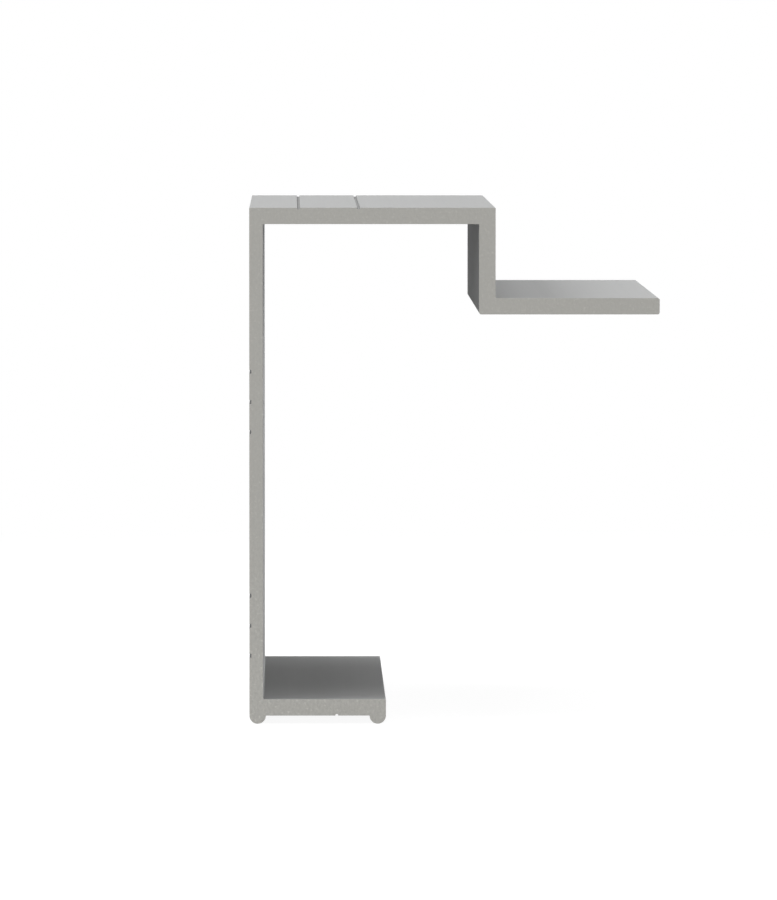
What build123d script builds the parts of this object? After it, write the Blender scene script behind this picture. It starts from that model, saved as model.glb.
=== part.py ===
from build123d import *
import os

# Aluminium extrusion profile: one cut length of a thin-walled channel section with a stepped ledge.
# Lengths are millimetres. The section lies in the XZ plane and runs along Y. Z is up, and the origin
# is the middle of the footprint on the floor, which the two bead feet touch.
# In the section, across is measured from the outer face of the web and up from the foot's underside.

# Cut length
length = 100.0

# Outside sizes of the section
body_height = 93.0  # underside of the foot to the top of the head
head_width = 45.0  # outer face of the web to the outer face of the riser
ledge_reach = 30.0  # beyond the outer face of the riser
ledge_drop = 16.5  # top of the head down to the top of the ledge
foot_width = 25.0

# Walls
web_wall = 2.5
head_wall = 3.0
riser_wall = 3.0
ledge_wall = 3.0
foot_wall = 3.0

# Half-round bead feet under the foot, one flush with the web and one with the tip
bead_radius = 1.5

# Corner radii
head_radius = 0.15
tip_radius = 0.4  # both corners of the ledge's tip, and the heel of the riser
foot_tip_radius = 0.2
inner_radius = 0.2

# Drill guide grooves: straight sides and a flat bottom with rounded corners, larger in the web
groove_width = 0.5
groove_depth = 0.25
web_groove_width = 0.7
web_groove_depth = 0.35
groove_radius = 0.1
groove_pitch = 5.5  # between the grooves of one trio
lower_trio_height = 16.5  # middle groove of the lower trio on the web
upper_trio_height = 57.5  # middle groove of the upper trio on the web
near_head_groove_inset = 9.0  # from the outer face of the web
far_head_groove_inset = 20.0
foot_groove_setback = 9.0  # from the tip of the foot
cut_overrun = 1.0

# Places that follow
overall_width = head_width + ledge_reach
head_underside = body_height - head_wall
riser_inside = head_width - riser_wall
ledge_top = body_height - ledge_drop
ledge_underside = ledge_top - ledge_wall


def upper_outline():
    """Edge of the section from the foot's tip round to the heel of the web, with its corners rounded."""
    corners = [
        ((foot_width, foot_wall), foot_tip_radius),
        ((web_wall, foot_wall), inner_radius),
        ((web_wall, head_underside), inner_radius),
        ((riser_inside, head_underside), inner_radius),
        ((riser_inside, ledge_underside), tip_radius),
        ((overall_width, ledge_underside), tip_radius),
        ((overall_width, ledge_top), tip_radius),
        ((head_width, ledge_top), inner_radius),
        ((head_width, body_height), head_radius),
        ((0, body_height), head_radius),
    ]
    points = [point for point, radius in corners]
    radii = [radius for point, radius in corners]
    return FilletPolyline((foot_width, 0), *points, (0, 0), radius=radii)


def bead(start):
    """Half-round foot below the underside, from start to one bead width further across."""
    end = start + 2 * bead_radius
    return ThreePointArc((start, 0), (start + bead_radius, -bead_radius), (end, 0))


def section_outline():
    """Closed edge of the whole section, without the grooves."""
    web_bead = bead(0)
    tip_bead = bead(foot_width - 2 * bead_radius)
    underside = Line(web_bead @ 1, tip_bead @ 0)
    return make_face(Curve() + [web_bead, underside, tip_bead, upper_outline()])


def groove_cutter(width, depth):
    """Section of one groove, in a face that looks along local Y."""
    corners = [(-width / 2, cut_overrun), (-width / 2, -depth), (width / 2, -depth), (width / 2, cut_overrun)]
    sides = FilletPolyline(*corners, radius=groove_radius)
    mouth = Line(sides @ 1, sides @ 0)
    return make_face(Curve() + [sides, mouth])


def groove_cutters():
    """Section of every groove in its place, turned so that local Y points out of the face."""
    on_web = [
        Pos(0, middle + step * groove_pitch) * Rot(0, 0, 90)
        for middle in (lower_trio_height, upper_trio_height)
        for step in (-1, 0, 1)
    ]
    on_head = [Pos(inset, body_height) for inset in (near_head_groove_inset, far_head_groove_inset)]
    on_foot = [Pos(foot_width - foot_groove_setback, 0) * Rot(0, 0, 180)]
    fine = groove_cutter(groove_width, groove_depth)
    large = groove_cutter(web_groove_width, web_groove_depth)
    return [place * large for place in on_web] + [place * fine for place in on_head + on_foot]


def extrusion_profile():
    """The section, with its grooves, drawn out to the cut length."""
    section = section_outline() - groove_cutters()
    standing = Plane(origin=(-overall_width / 2, 0, bead_radius), x_dir=(1, 0, 0), z_dir=(0, -1, 0))
    return extrude(standing * section, amount=length / 2, both=True)


os.makedirs("parts", exist_ok=True)
export_step(extrusion_profile(), "parts/extrusion_profile.step")
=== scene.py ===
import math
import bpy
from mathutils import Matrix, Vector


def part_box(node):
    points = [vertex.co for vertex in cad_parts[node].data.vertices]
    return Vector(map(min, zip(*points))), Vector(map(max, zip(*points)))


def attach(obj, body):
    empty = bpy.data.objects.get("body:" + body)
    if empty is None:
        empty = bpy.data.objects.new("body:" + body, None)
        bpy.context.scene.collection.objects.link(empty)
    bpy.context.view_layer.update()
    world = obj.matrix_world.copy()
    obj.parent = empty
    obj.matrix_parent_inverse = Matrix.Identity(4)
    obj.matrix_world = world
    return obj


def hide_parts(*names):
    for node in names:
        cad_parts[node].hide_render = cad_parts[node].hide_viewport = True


bl_info = {
    "name": "Aluminium extrusion profile",
    "version": (1, 0, 0),
    "blender": (4, 5, 0),
    "location": "View3D > Sidebar > Profile",
    "description": "Makes one cut length of an aluminium extrusion and a plain stage for it",
    "category": "Object",
}

from collections import namedtuple

import bpy
from bpy.props import FloatProperty, FloatVectorProperty, PointerProperty
from mathutils import Euler, Vector

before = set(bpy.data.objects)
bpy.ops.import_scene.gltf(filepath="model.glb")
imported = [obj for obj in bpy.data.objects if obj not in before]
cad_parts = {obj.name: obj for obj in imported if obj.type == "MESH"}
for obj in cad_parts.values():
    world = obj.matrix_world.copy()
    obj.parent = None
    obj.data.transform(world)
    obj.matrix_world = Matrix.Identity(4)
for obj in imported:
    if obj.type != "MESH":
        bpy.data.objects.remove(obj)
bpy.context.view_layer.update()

NODE = "extrusion_profile"
PIECE = "profile_length"

low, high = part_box(NODE)

MM = 0.001
QUARTER_TURN = math.pi / 2

# Names of the mesh attributes that the tree reads and writes
ROUNDING = "rounding"
# this one holds the painted shade in the grooves
GROOVE_SHADE = "groove"
BEVEL_WEIGHT = "bevel_weight_edge"

# Making of the mesh
MERGE_DISTANCE = 0.001 * MM
SHARP_EDGE = math.radians(40)
END_FACING = 0.5  # a face whose normal has more than this along Y belongs to a cut end
BREAK_SEGMENTS = 2  # facets across the broken edge round a cut end

# A corner of the section: its place, its rounding, and the painted shade of a groove there
Corner = namedtuple("Corner", "place rounding groove", defaults=(0, 0))

# Painted shade of a groove, in its bottom corners and on its floor: the grooves in head and foot get less of
# it than those in the web
HEAD_AND_FOOT_GROOVE_SHADE = (0.5, 0.1)
WEB_GROOVE_SHADE = (1, 1)

# A noise on the piece's own coordinates: its cell along X, Y and Z, the number of finer layers in it, and
# the strength of each of those beside the one before
Texture = namedtuple("Texture", "cell layers strength")
NOISE_MEAN = 0.5

# Drawn faces: lines, bands and streaks along the length, and slow clouds of tone
DIE_LINES = Texture((0.16 * MM, 60 * MM, 0.16 * MM), 2, 0.6)
BANDS = Texture((1.4 * MM, 160 * MM, 1.4 * MM), 2, 0.5)
STREAKS = Texture((0.5 * MM, 130 * MM, 0.5 * MM), 3, 0.7)
CLOUDS = Texture((22 * MM, 45 * MM, 22 * MM), 3, 0.5)
DIE_LINE_TONE = 0.05
BAND_TONE = 0.06
CLOUD_TONE = 0.05
DRAWN_RELIEF = 0.004 * MM
DRAWN_UNEVENNESS = 0.1  # how far bands and clouds change the roughness

# Cut ends: an upright grain and bright specks, both stronger where the cut is coarse
GRAIN = Texture((0.42 * MM, 0.42 * MM, 0.65 * MM), 3, 0.6)
SPECKS = Texture((0.6 * MM, 0.55 * MM, 0.5 * MM), 0, 0.5)
SPECK_LEVEL = 0.64  # the noise above this is a speck
GRAIN_TONE = 0.2
COARSE_GRAIN_TONE = 0.33
SPECK_TONE = 0.5
COARSE_SPECK_TONE = 0.6
COARSE_TONE = 0.05
SAWN_RELIEF = 0.03 * MM
SAWN_UNEVENNESS = 0.15  # how far the grain changes the roughness

# A soft lamp: its turn from the front towards the ledge's side and its height above the floor, in degrees,
# and the stage's settings that hold its size and its power
Lamp = namedtuple("Lamp", "name turn height size power")
LAMPS = (
    Lamp("overhead_lamp", 0, 90, "wide_size", "overhead_power"),
    Lamp("left_lamp", -90, 46, "side_size", "left_power"),
    Lamp("front_lamp", 0, 7, "front_size", "front_power"),
    Lamp("corner_lamp", -38, 10, "side_size", "corner_power"),
    Lamp("right_lamp", 90, 53, "small_size", "right_power"),
    Lamp("low_lamp", 150, 4, "small_size", "low_power"),
)

# The rest of the stage
WHITE = (1, 1, 1, 1)
WHITE_STRENGTH = 1
FLOOR_SIDE = 40
SENSOR_WIDTH = 36  # millimetres, as Blender has it
CLIP_START = 0.05
CLIP_END = 100


def length_property(name, description, default):
    """A size in metres that the panel shows in the scene's length unit."""
    return FloatProperty(
        name=name,
        description=description,
        default=default,
        min=0,
        precision=5,
        unit="LENGTH",
        subtype="DISTANCE",
    )


def share_property(name, description, default):
    """A number from 0 to 1."""
    return FloatProperty(name=name, description=description, default=default, min=0, max=1, subtype="FACTOR")


def power_property(name, description, default):
    """The power of a lamp in watts."""
    return FloatProperty(name=name, description=description, default=default, min=0, subtype="POWER")


def colour_property(name, description, default):
    """A linear colour without alpha."""
    return FloatVectorProperty(
        name=name, description=description, default=default, min=0, max=1, size=3, subtype="COLOR"
    )


class SectionSizes(bpy.types.PropertyGroup):
    """Sizes of the extruded section and of the cut piece"""

    length: length_property("Length", "Cut length of the piece", high.y - low.y)
    width: length_property("Width", "Outer face of the web to the tip of the ledge", high.x - low.x)
    height: length_property("Height", "Floor to the top of the head", high.z - low.z)
    head_width: length_property("Head width", "Outer face of the web to that of the riser", 45 * MM)
    ledge_drop: length_property("Ledge drop", "Top of the head down to the top of the ledge", 16.5 * MM)
    foot_width: length_property("Foot width", "Outer face of the web to the tip of the foot", 25 * MM)
    web_wall: length_property("Web wall", "Thickness of the web", 2.5 * MM)
    flange_wall: length_property("Flange wall", "Thickness of head, riser, ledge and foot", 3 * MM)
    bead_radius: length_property("Bead radius", "Radius of the half-round feet", 1.5 * MM)
    head_rounding: length_property("Head rounding", "Radius of the outer corners of the head", 0.15 * MM)
    tip_rounding: length_property("Tip rounding", "Radius at the ledge's tip and the riser's heel", 0.4 * MM)
    foot_rounding: length_property("Foot rounding", "Radius on top of the foot's tip", 0.2 * MM)
    inner_rounding: length_property("Inner rounding", "Radius in the inside corners", 0.2 * MM)
    groove_width: length_property("Groove width", "Width of the grooves in head and foot", 0.5 * MM)
    groove_depth: length_property("Groove depth", "Depth of the grooves in head and foot", 0.25 * MM)
    web_groove_width: length_property("Web groove width", "Width of the grooves in the web", 0.7 * MM)
    web_groove_depth: length_property("Web groove depth", "Depth of the grooves in the web", 0.35 * MM)
    groove_rounding: length_property("Groove rounding", "Radius in a groove's bottom corners", 0.1 * MM)
    groove_pitch: length_property("Groove pitch", "Distance between the grooves of a trio", 5.5 * MM)
    lower_trio: length_property("Lower trio", "Foot's underside to the lower trio's middle", 16.5 * MM)
    upper_trio: length_property("Upper trio", "Foot's underside to the upper trio's middle", 57.5 * MM)
    near_groove: length_property("Near head groove", "Web face to the first groove of the head", 9 * MM)
    far_groove: length_property("Far head groove", "Web face to the second groove of the head", 20 * MM)
    foot_groove: length_property("Foot groove", "Tip of the foot to the groove under it", 9 * MM)
    edge_break: length_property("Edge break", "Width of the broken edge round a cut end", 0.03 * MM)
    facet: length_property("Facet", "Length of one straight step on a rounding", 0.1 * MM)


class FinishSettings(bpy.types.PropertyGroup):
    """Colours and finish of the bare metal"""

    drawn_colour: colour_property("Drawn colour", "Colour of the extruded faces", (0.45, 0.453, 0.452))
    sawn_colour: colour_property("Sawn colour", "Colour of the cut ends", (0.5, 0.493, 0.463))
    metallic: share_property("Metallic", "How far the faces mirror as bare metal does", 0.05)
    gloss: share_property("Gloss", "Share of mirrored light on the dull film over the metal", 0.02)
    # Strength of the painted shade in the grooves
    painted_groove_shade: share_property("Groove darkness", "How much darker the drill guide grooves are", 0.72)
    streaks: share_property("Streaks", "Strength of the die's streaks on the web's outer face", 0.25)
    drawn_roughness: share_property("Drawn roughness", "Roughness of the extruded faces", 0.7)
    sawn_roughness: share_property("Sawn roughness", "Roughness of the cut ends", 0.7)
    coarse_reach: length_property("Coarse reach", "Height up to which the cut is coarser", 45 * MM)


class StageSettings(bpy.types.PropertyGroup):
    """Camera, lamps and floor"""

    camera_place: FloatVectorProperty(
        name="Camera place",
        description="Where the camera stands",
        default=(-29.54 * MM, -1538.31 * MM, 130.44 * MM),
        size=3,
        subtype="TRANSLATION",
    )
    camera_turn: FloatVectorProperty(
        name="Camera turn",
        description="Pitch, roll and yaw of the camera from level along +Y",
        default=[math.radians(turn) for turn in (-3.0856, -0.0208, -0.672)],
        size=3,
        subtype="EULER",
    )
    lens: FloatProperty(
        name="Lens", description="Focal length in mm", default=326.12, min=1, subtype="DISTANCE_CAMERA"
    )
    overhead_power: power_property("Overhead power", "Wide lamp above the piece", 11.7)
    left_power: power_property("Left power", "High lamp on the web's side", 15.5)
    front_power: power_property("Front power", "Lamp in front of the near end", 9.5)
    corner_power: power_property("Corner power", "Lamp in front of the web's side", 4.3)
    right_power: power_property("Right power", "Small high lamp on the ledge's side", 3.7)
    low_power: power_property("Low power", "Small lamp near the floor behind the ledge's side", 13.6)
    lamp_distance: length_property("Lamp distance", "From the middle of the piece to each lamp", 1.6)
    wide_size: length_property("Wide size", "Side of the square lamp above the piece", 1.3)
    side_size: length_property("Side size", "Side of the square lamps on the web's side", 0.8)
    front_size: length_property("Front size", "Side of the square lamp in front", 0.4)
    small_size: length_property("Small size", "Side of the square lamps on the ledge's side", 0.25)
    floor_bounce: share_property("Floor bounce", "Tone of the floor in the light that it throws back", 0.3)
    floor_glow: share_property("Floor glow", "Part of the floor's white that holds no shadow", 0.92)
    floor_shade: share_property("Floor shade", "Part of the floor's white that the lamps give", 0.2)
    shade_reach: length_property("Shade reach", "How far from the piece the floor holds a shadow", 0.25)


class Wire:
    """An output of a node. Expressions of wires and numbers add the Math nodes that they need."""

    def __init__(self, tree, socket):
        self.tree = tree
        self.socket = socket

    def __add__(self, other):
        return self.tree.math("ADD", self, other)

    def __radd__(self, other):
        return self.tree.math("ADD", other, self)

    def __sub__(self, other):
        return self.tree.math("SUBTRACT", self, other)

    def __rsub__(self, other):
        return self.tree.math("SUBTRACT", other, self)

    def __mul__(self, other):
        return self.tree.math("MULTIPLY", self, other)

    def __rmul__(self, other):
        return self.tree.math("MULTIPLY", other, self)

    def __truediv__(self, other):
        return self.tree.math("DIVIDE", self, other)

    def __rtruediv__(self, other):
        return self.tree.math("DIVIDE", other, self)

    def __gt__(self, other):
        return self.tree.math("GREATER_THAN", self, other)

    def __lt__(self, other):
        return self.tree.math("LESS_THAN", self, other)

    def __abs__(self):
        return self.tree.math("ABSOLUTE", self)


class Added:
    """A node that was just added. Its outputs are wires, by name."""

    def __init__(self, tree, node):
        self.tree = tree
        self.node = node

    def __getitem__(self, name):
        return Wire(self.tree, self.node.outputs[name])


class Tree:
    """Adds nodes to a shader or geometry node tree."""

    def __init__(self, node_tree):
        self.node_tree = node_tree

    def add(self, kind, settings=None, sockets=None):
        """Adds a node: its settings first, then the value or wire of each socket, by name or by number."""
        node = self.node_tree.nodes.new(kind)
        for name, value in (settings or {}).items():
            setattr(node, name, value)
        for key, value in (sockets or {}).items():
            socket = self.socket(node, key)
            if isinstance(value, Wire):
                self.node_tree.links.new(value.socket, socket)
            else:
                socket.default_value = value
        return Added(self, node)

    def socket(self, node, key):
        """The input of that number, or the one in use with that name."""
        if isinstance(key, int):
            return node.inputs[key]
        return next(socket for socket in node.inputs if socket.name == key and socket.enabled)

    def math(self, operation, *values):
        """A Math node on wires and numbers."""
        return self.add("ShaderNodeMath", {"operation": operation}, dict(enumerate(values)))["Value"]

    def axes(self, vector):
        """A node that takes a vector apart into X, Y and Z."""
        return self.add("ShaderNodeSeparateXYZ", None, {"Vector": vector})


# Section of the profile


def groove_corners(middles, inward, width, depth, rounding, painted_shade):
    """Corners of a row of grooves in the order of the outline, their middles on the face and inward into the
    metal. The painted shade is that of their bottom corners and that of the middle of their floor."""
    corner_painted_shade, floor_painted_shade = painted_shade
    inward = Vector(inward)
    along = Vector((-inward.y, inward.x)) * width / 2
    down = inward * depth
    corners = []
    for middle in middles:
        start = Vector(middle) + along
        floor = Vector(middle) + down
        end = Vector(middle) - along
        corners += [
            Corner(start),
            Corner(start + down, rounding, corner_painted_shade),
            Corner(floor, 0, floor_painted_shade),
            Corner(end + down, rounding, corner_painted_shade),
            Corner(end),
        ]
    return corners


def section_corners(sizes):
    """Corners of the whole section against the clock, each with its rounding. The start is the bottom of the
    bead under the web. Heights are measured from the foot's underside."""
    radius = sizes.bead_radius
    top = sizes.height - radius
    ledge_top = top - sizes.ledge_drop
    ledge_under = ledge_top - sizes.flange_wall
    head_under = top - sizes.flange_wall
    riser_inside = sizes.head_width - sizes.flange_wall
    tip = sizes.foot_width
    tip_bead_start = tip - 2 * radius

    trio = [step * sizes.groove_pitch for step in (1, 0, -1)]
    web_grooves = [(0, middle + step) for middle in (sizes.upper_trio, sizes.lower_trio) for step in trio]
    head_grooves = [(sizes.far_groove, top), (sizes.near_groove, top)]
    foot_grooves = [(tip - sizes.foot_groove, 0)]
    groove = (sizes.groove_width, sizes.groove_depth, sizes.groove_rounding)
    web_groove = (sizes.web_groove_width, sizes.web_groove_depth, sizes.groove_rounding)
    web_bead = [
        Corner((0, -radius), radius),
        Corner((2 * radius, -radius), radius),
        Corner((2 * radius, 0)),
    ]
    tip_bead = [
        Corner((tip_bead_start, 0)),
        Corner((tip_bead_start, -radius), radius),
        Corner((tip, -radius), radius),
    ]
    inside = [
        Corner((tip, sizes.flange_wall), sizes.foot_rounding),
        Corner((sizes.web_wall, sizes.flange_wall), sizes.inner_rounding),
        Corner((sizes.web_wall, head_under), sizes.inner_rounding),
        Corner((riser_inside, head_under), sizes.inner_rounding),
        Corner((riser_inside, ledge_under), sizes.tip_rounding),
    ]
    outside = [
        Corner((sizes.width, ledge_under), sizes.tip_rounding),
        Corner((sizes.width, ledge_top), sizes.tip_rounding),
        Corner((sizes.head_width, ledge_top), sizes.inner_rounding),
        Corner((sizes.head_width, top), sizes.head_rounding),
    ]
    head_corner = [Corner((0, top), sizes.head_rounding)]
    return (
        web_bead
        + groove_corners(foot_grooves, (0, 1), *groove, HEAD_AND_FOOT_GROOVE_SHADE)
        + tip_bead
        + inside
        + outside
        + groove_corners(head_grooves, (0, -1), *groove, HEAD_AND_FOOT_GROOVE_SHADE)
        + head_corner
        + groove_corners(web_grooves, (1, 0), *web_groove, WEB_GROOVE_SHADE)
    )


def corner_loop(corners):
    """A closed loop of edges through the corners, in the XY plane, that keeps what each corner has."""
    count = len(corners)
    places = [(*corner.place, 0) for corner in corners]
    edges = [(i, (i + 1) % count) for i in range(count)]
    mesh = bpy.data.meshes.new(PIECE)
    mesh.from_pydata(places, edges, [])
    for name in (ROUNDING, GROOVE_SHADE):
        stored = mesh.attributes.new(name, "FLOAT", "POINT")
        stored.data.foreach_set("value", [getattr(corner, name) for corner in corners])
    return mesh


# Tree that draws the section out


def stored_value(tree, name):
    """The value that a mesh keeps under a name."""
    return tree.add("GeometryNodeInputNamedAttribute", {"data_type": "FLOAT"}, {"Name": name})["Attribute"]


def store_value(tree, mesh, domain, name, value):
    """The mesh with a value kept under a name on its points or its edges."""
    return tree.add(
        "GeometryNodeStoreNamedAttribute",
        {"data_type": "FLOAT", "domain": domain},
        {"Geometry": mesh, "Name": name, "Value": value},
    )["Geometry"]


def rounded_outline(tree, given):
    """The loop of corners as a curve, each corner rounded in short facets."""
    rounding = stored_value(tree, ROUNDING)
    facets = tree.math("CEIL", rounding * QUARTER_TURN / given["Facet"])
    loop = tree.add("GeometryNodeMeshToCurve", None, {"Mesh": given["Corners"]})["Curve"]
    return tree.add(
        "GeometryNodeFilletCurve",
        {"mode": "POLY"},
        {
            "Curve": loop,
            "Count": tree.math("MAXIMUM", facets, 1),
            "Radius": rounding,
            "Limit Radius": True,
        },
    )["Curve"]


def drawn_solid(tree, outline, length):
    """The outline filled and drawn out, and closed where it started."""
    first_end = tree.add("GeometryNodeFillCurve", {"mode": "NGONS"}, {"Curve": outline})["Mesh"]
    drawn = tree.add(
        "GeometryNodeExtrudeMesh",
        {"mode": "FACES"},
        {"Mesh": first_end, "Offset Scale": length, "Individual": False},
    )["Mesh"]
    turned_end = tree.add("GeometryNodeFlipFaces", None, {"Mesh": first_end})["Mesh"]
    join = tree.add("GeometryNodeJoinGeometry")
    for part in (drawn, turned_end):
        tree.node_tree.links.new(part.socket, join.node.inputs["Geometry"])
    return tree.add(
        "GeometryNodeMergeByDistance",
        None,
        {"Geometry": join["Geometry"], "Distance": MERGE_DISTANCE},
    )["Geometry"]


def mark_grooves(tree, solid, outline):
    """The solid with the painted groove shade of the outline's nearest point kept on each of its points."""
    points = tree.add("GeometryNodeCurveToMesh", None, {"Curve": outline})["Mesh"]
    place = tree.add("GeometryNodeInputPosition")["Position"]
    nearest = tree.add(
        "GeometryNodeSampleNearest", None, {"Geometry": points, "Sample Position": place}
    )["Index"]
    darkness = tree.add(
        "GeometryNodeSampleIndex",
        {"data_type": "FLOAT"},
        {"Geometry": points, "Value": stored_value(tree, GROOVE_SHADE), "Index": nearest},
    )["Value"]
    return store_value(tree, solid, "POINT", GROOVE_SHADE, darkness)


def mark_edges(tree, solid, length):
    """The solid with the edges round its ends weighted for the bevel, and with its sharp edges."""
    along = tree.axes(tree.add("GeometryNodeInputPosition")["Position"])["Y"]
    at_an_end = abs(along) > length / 2 - MERGE_DISTANCE
    weighted = store_value(tree, solid, "EDGE", BEVEL_WEIGHT, at_an_end)
    angle = tree.add("GeometryNodeInputMeshEdgeAngle")["Unsigned Angle"]
    return tree.add(
        "GeometryNodeSetShadeSmooth",
        {"domain": "EDGE"},
        {"Geometry": weighted, "Selection": angle > SHARP_EDGE, "Shade Smooth": False},
    )["Geometry"]


def give_finishes(tree, solid, given):
    """The solid with the drawn finish all over, and then the sawn finish on its ends."""
    facing = tree.axes(tree.add("GeometryNodeInputNormal")["Normal"])["Y"]
    real = tree.add("GeometryNodeRealizeInstances", None, {"Geometry": solid})["Geometry"]
    drawn = tree.add(
        "GeometryNodeSetMaterial", None, {"Geometry": real, "Material": given["Drawn finish"]}
    )["Geometry"]
    return tree.add(
        "GeometryNodeSetMaterial",
        None,
        {"Geometry": drawn, "Selection": abs(facing) > END_FACING, "Material": given["Sawn finish"]},
    )["Geometry"]


def drawing_tree():
    """Geometry nodes that round a loop of corners, fill it, draw it out and stand it up along Y."""
    group = bpy.data.node_groups.new("draw_out_section", "GeometryNodeTree")
    inputs = {
        "Corners": "NodeSocketGeometry",
        "Length": "NodeSocketFloat",
        "Facet": "NodeSocketFloat",
        "Place": "NodeSocketVector",
        "Drawn finish": "NodeSocketMaterial",
        "Sawn finish": "NodeSocketMaterial",
    }
    for name, kind in inputs.items():
        group.interface.new_socket(name, in_out="INPUT", socket_type=kind)
    group.interface.new_socket("Profile", in_out="OUTPUT", socket_type="NodeSocketGeometry")

    tree = Tree(group)
    given = tree.add("NodeGroupInput")
    outline = rounded_outline(tree, given)
    solid = drawn_solid(tree, outline, given["Length"])
    marked = mark_grooves(tree, solid, outline)
    standing = tree.add(
        "GeometryNodeTransform",
        None,
        {"Geometry": marked, "Translation": given["Place"], "Rotation": (QUARTER_TURN, 0, 0)},
    )["Geometry"]
    edged = mark_edges(tree, standing, given["Length"])
    tree.add("NodeGroupOutput", None, {"Profile": give_finishes(tree, edged, given)})
    return group


def set_inputs(modifier, values):
    """Gives a geometry nodes modifier its inputs by name."""
    for item in modifier.node_group.interface.items_tree:
        if item.in_out == "INPUT" and item.name in values:
            modifier[item.identifier] = values[item.name]


def finished_mesh(draft, name):
    """Gives an object the plain mesh that its modifiers make, and takes them away."""
    bpy.context.view_layer.update()
    graph = bpy.context.evaluated_depsgraph_get()
    mesh = bpy.data.meshes.new_from_object(draft.evaluated_get(graph), depsgraph=graph)
    mesh.name = name
    draft.modifiers.clear()
    draft.data = mesh


# Finishes


def new_material(name):
    """A material with no nodes, and the tree to fill it."""
    material = bpy.data.materials.new(name)
    material.use_nodes = True
    material.node_tree.nodes.clear()
    return material, Tree(material.node_tree)


def own_place(tree):
    """A point's place in the object's own coordinates."""
    return tree.add("ShaderNodeTexCoord")["Object"]


def noise(tree, texture):
    """A noise from 0 to 1 on the object's own coordinates."""
    scale = [1 / size for size in texture.cell]
    scaled = tree.add(
        "ShaderNodeMapping", {"vector_type": "POINT"}, {"Vector": own_place(tree), "Scale": scale}
    )["Vector"]
    return tree.add(
        "ShaderNodeTexNoise",
        None,
        {"Vector": scaled, "Scale": 1, "Detail": texture.layers, "Roughness": texture.strength},
    )["Fac"]


def swing(wire, amount):
    """A noise as a change around 0."""
    return (wire - NOISE_MEAN) * amount


def relief(tree, depth, height):
    """The normal of a surface with a fine relief."""
    return tree.add("ShaderNodeBump", None, {"Strength": 1, "Distance": depth, "Height": height})["Normal"]


def toned(tree, colour, tone):
    """A colour made lighter or darker by a wire around 1."""
    grey = tree.add("ShaderNodeCombineXYZ", None, {"X": tone, "Y": tone, "Z": tone})["Vector"]
    return tree.add("ShaderNodeVectorMath", {"operation": "MULTIPLY"}, {0: grey, 1: colour})["Vector"]


def bare_metal(tree, finish, colour, roughness, normal):
    """Links the metal's shader to the material's output."""
    sockets = {
        "Base Color": colour,
        "Metallic": finish.metallic,
        "Specular IOR Level": finish.gloss,
        "Roughness": roughness,
        "Normal": normal,
    }
    shader = tree.add("ShaderNodeBsdfPrincipled", None, sockets)["BSDF"]
    tree.add("ShaderNodeOutputMaterial", None, {"Surface": shader})


def drawn_finish(finish, sizes):
    """Extruded faces: satin bare metal with fine die lines along the length and slow changes of tone, and
    painted shade in the grooves. The outer face of the web has clearer streaks than the rest."""
    material, tree = new_material("drawn_aluminium")
    die_lines = noise(tree, DIE_LINES)
    bands = noise(tree, BANDS)
    clouds = noise(tree, CLOUDS)
    place = tree.axes(own_place(tree))
    outside_web = place["X"] < low.x + sizes.web_wall / 2
    below_head = place["Z"] < high.z - sizes.head_rounding
    painted_shade_in_groove = tree.add("ShaderNodeAttribute", {"attribute_name": GROOVE_SHADE})["Fac"]
    lines = swing(die_lines, DIE_LINE_TONE) + swing(bands, BAND_TONE)
    streaks = outside_web * below_head * swing(noise(tree, STREAKS), finish.streaks)
    # the grooves are darkened by painted shade
    tone = 1 + lines + streaks + swing(clouds, CLOUD_TONE) - painted_shade_in_groove * finish.painted_groove_shade
    unevenness = swing(bands, DRAWN_UNEVENNESS) + swing(clouds, DRAWN_UNEVENNESS)
    bare_metal(
        tree,
        finish,
        colour=toned(tree, finish.drawn_colour, tone),
        roughness=finish.drawn_roughness + unevenness,
        normal=relief(tree, DRAWN_RELIEF, die_lines + bands),
    )
    return material


def sawn_finish(finish):
    """Cut ends: a fine grain of small pits and bright specks, coarser and lighter towards the foot."""
    material, tree = new_material("sawn_aluminium")
    grain = noise(tree, GRAIN)
    specks = tree.math("MAXIMUM", noise(tree, SPECKS) - SPECK_LEVEL, 0)
    height = tree.axes(own_place(tree))["Z"]
    coarse = tree.math("MAXIMUM", 1 - height / finish.coarse_reach, 0)
    grained = swing(grain, GRAIN_TONE + coarse * COARSE_GRAIN_TONE)
    specked = specks * (SPECK_TONE + coarse * COARSE_SPECK_TONE)
    tone = 1 + grained + specked + coarse * COARSE_TONE
    bare_metal(
        tree,
        finish,
        colour=toned(tree, finish.sawn_colour, tone),
        roughness=finish.sawn_roughness + swing(grain, SAWN_UNEVENNESS),
        normal=relief(tree, SAWN_RELIEF, grain),
    )
    return material


# Stage


def shows_background(tree):
    """1 for the rays that see the white background: from the camera, a mirror face or through glass."""
    path = tree.add("ShaderNodeLightPath")
    mirrored = tree.math("MAXIMUM", path["Is Camera Ray"], path["Is Glossy Ray"])
    return tree.math("MAXIMUM", mirrored, path["Is Transmission Ray"])


def matt_grey(tree, level):
    """A matt surface of an even grey."""
    return tree.add("ShaderNodeBsdfDiffuse", None, {"Color": (level, level, level, 1)})["BSDF"]


def white_glow(tree, strength):
    """A surface that is white without any lamp."""
    return tree.add("ShaderNodeEmission", None, {"Color": WHITE, "Strength": strength})["Emission"]


def mixed(tree, factor, first, second):
    """The first shader where the factor is 0 and the second where it is 1."""
    return tree.add("ShaderNodeMixShader", None, {"Fac": factor, 1: first, 2: second})["Shader"]


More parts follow.
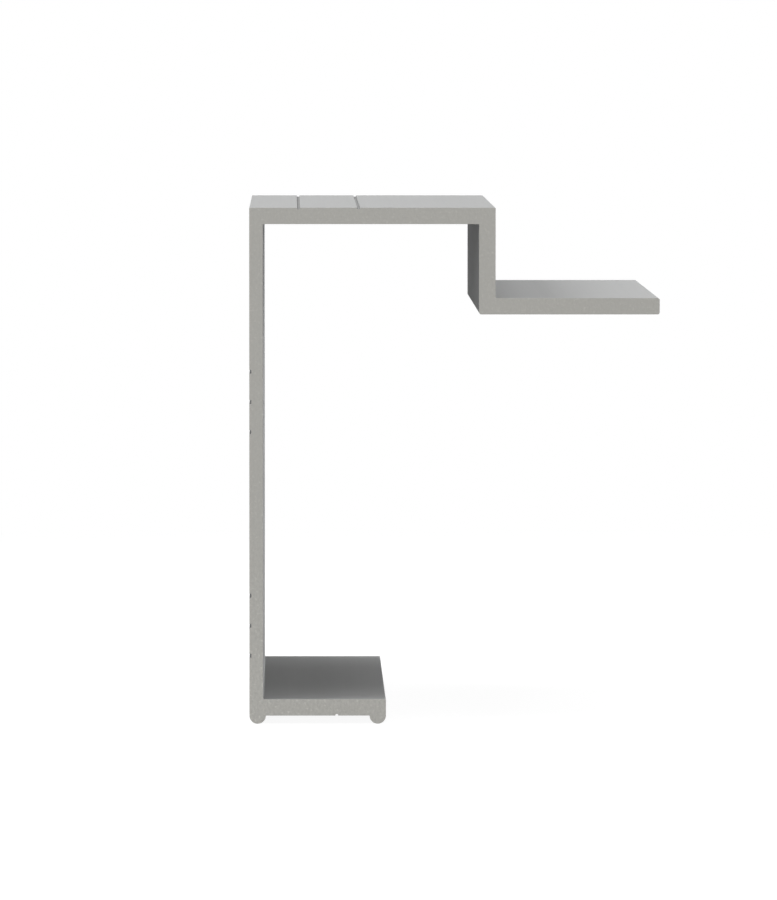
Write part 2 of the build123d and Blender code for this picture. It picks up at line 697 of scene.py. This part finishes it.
def floor_material(stage):
    """A white floor that keeps a faint shadow near the piece, and that is clear from below."""
    material, tree = new_material("white_floor")
    shade = matt_grey(tree, stage.floor_shade)
    near = tree.add("ShaderNodeAddShader", None, {0: shade, 1: white_glow(tree, stage.floor_glow)})["Shader"]
    distance = tree.add(
        "ShaderNodeVectorMath", {"operation": "LENGTH"}, {"Vector": own_place(tree)}
    )["Value"]
    fade = tree.add(
        "ShaderNodeMapRange",
        {"interpolation_type": "SMOOTHSTEP"},
        {"Value": distance, "From Min": stage.shade_reach, "From Max": 2 * stage.shade_reach},
    )["Result"]
    seen = mixed(tree, fade, near, white_glow(tree, WHITE_STRENGTH))
    above = mixed(tree, shows_background(tree), matt_grey(tree, stage.floor_bounce), seen)
    clear = tree.add("ShaderNodeBsdfTransparent")["BSDF"]
    from_below = tree.add("ShaderNodeNewGeometry")["Backfacing"]
    tree.add("ShaderNodeOutputMaterial", None, {"Surface": mixed(tree, from_below, above, clear)})
    return material


def make_world(scene):
    """White to the eye and in reflections, and no light on anything else."""
    world = bpy.data.worlds.new("white_room")
    world.use_nodes = True
    world.node_tree.nodes.clear()
    tree = Tree(world.node_tree)
    background = tree.add(
        "ShaderNodeBackground", None, {"Color": WHITE, "Strength": shows_background(tree)}
    )["Background"]
    tree.add("ShaderNodeOutputWorld", None, {"Surface": background})
    scene.world = world


def make_lamp(lamp, stage):
    """A square soft lamp that looks at the piece and that the camera doesn't see."""
    light = bpy.data.lights.new(lamp.name, "AREA")
    light.shape = "SQUARE"
    light.size = getattr(stage, lamp.size)
    light.energy = getattr(stage, lamp.power)
    turn = math.radians(lamp.turn)
    height = math.radians(lamp.height)
    level = math.cos(height)
    away = Vector((math.sin(turn) * level, -math.cos(turn) * level, math.sin(height)))
    hung = bpy.data.objects.new(lamp.name, light)
    hung.location = (low + high) / 2 + away * stage.lamp_distance
    hung.rotation_euler = away.to_track_quat("Z", "Y").to_euler()
    hung.visible_camera = False
    bpy.context.scene.collection.objects.link(hung)


def make_floor(stage):
    """A wide square floor that faces up, level with the bead feet."""
    half = FLOOR_SIDE / 2
    corners = [(-half, -half, low.z), (half, -half, low.z), (half, half, low.z), (-half, half, low.z)]
    mesh = bpy.data.meshes.new("floor")
    mesh.from_pydata(corners, [], [(0, 1, 2, 3)])
    mesh.materials.append(floor_material(stage))
    floor = bpy.data.objects.new("floor", mesh)
    bpy.context.scene.collection.objects.link(floor)


def make_camera(stage):
    """A long lens in front of the near end, a little above the head."""
    data = bpy.data.cameras.new("camera")
    data.sensor_width = SENSOR_WIDTH
    data.lens = stage.lens
    data.clip_start = CLIP_START
    data.clip_end = CLIP_END
    camera = bpy.data.objects.new("camera", data)
    pitch, roll, yaw = stage.camera_turn
    camera.rotation_euler = Euler((QUARTER_TURN + pitch, roll, yaw), "XYZ")
    camera.location = stage.camera_place
    bpy.context.scene.collection.objects.link(camera)
    bpy.context.scene.camera = camera


class PROFILE_OT_make_profile(bpy.types.Operator):
    """Draws the section out to its cut length and gives it its finishes"""

    bl_idname = "profile.make_profile"
    bl_label = "Make profile"

    def execute(self, context):
        sizes = context.scene.profile_sizes
        finish = context.scene.profile_finish
        profile = bpy.data.objects.new(PIECE, corner_loop(section_corners(sizes)))
        context.scene.collection.objects.link(profile)

        draw = profile.modifiers.new("draw_out", "NODES")
        draw.node_group = drawing_tree()
        values = {
            "Length": sizes.length,
            "Facet": sizes.facet,
            "Place": (low.x, high.y, low.z + sizes.bead_radius),
            "Drawn finish": drawn_finish(finish, sizes),
            "Sawn finish": sawn_finish(finish),
        }
        set_inputs(draw, values)
        bevel = profile.modifiers.new("break_edges", "BEVEL")
        bevel.limit_method = "WEIGHT"
        bevel.width = sizes.edge_break
        bevel.segments = BREAK_SEGMENTS
        bevel.use_clamp_overlap = False
        normals = profile.modifiers.new("flat_faces", "WEIGHTED_NORMAL")
        normals.keep_sharp = True
        finished_mesh(profile, PIECE)

        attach(profile, "root")
        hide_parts(NODE)
        return {"FINISHED"}


class PROFILE_OT_make_stage(bpy.types.Operator):
    """Sets up the floor, the lamps and the camera"""

    bl_idname = "profile.make_stage"
    bl_label = "Make stage"

    def execute(self, context):
        stage = context.scene.profile_stage
        make_floor(stage)
        make_world(context.scene)
        for lamp in LAMPS:
            make_lamp(lamp, stage)
        make_camera(stage)
        context.scene.view_settings.view_transform = "Standard"
        return {"FINISHED"}


class PROFILE_PT_panel(bpy.types.Panel):
    """Sizes, finish and stage of the profile"""

    bl_idname = "PROFILE_PT_panel"
    bl_label = "Extrusion profile"
    bl_space_type = "VIEW_3D"
    bl_region_type = "UI"
    bl_category = "Profile"

    def draw(self, context):
        for settings, group in SETTINGS.items():
            column = self.layout.column(align=True)
            for name in group.__annotations__:
                column.prop(getattr(context.scene, settings), name)
        for operator in OPERATORS:
            self.layout.operator(operator.bl_idname)


SETTINGS = {
    "profile_sizes": SectionSizes,
    "profile_finish": FinishSettings,
    "profile_stage": StageSettings,
}
OPERATORS = (PROFILE_OT_make_profile, PROFILE_OT_make_stage)
CLASSES = (*SETTINGS.values(), *OPERATORS, PROFILE_PT_panel)


def register():
    """Adds the classes and the scene's settings."""
    for cls in CLASSES:
        bpy.utils.register_class(cls)
    for name, cls in SETTINGS.items():
        setattr(bpy.types.Scene, name, PointerProperty(type=cls))


def unregister():
    """Takes the settings and the classes away."""
    for name in SETTINGS:
        delattr(bpy.types.Scene, name)
    for cls in reversed(CLASSES):
        bpy.utils.unregister_class(cls)


def main():
    """Makes the profile and its stage."""
    register()
    bpy.ops.profile.make_profile()
    bpy.ops.profile.make_stage()


if __name__ == "__main__":
    main()
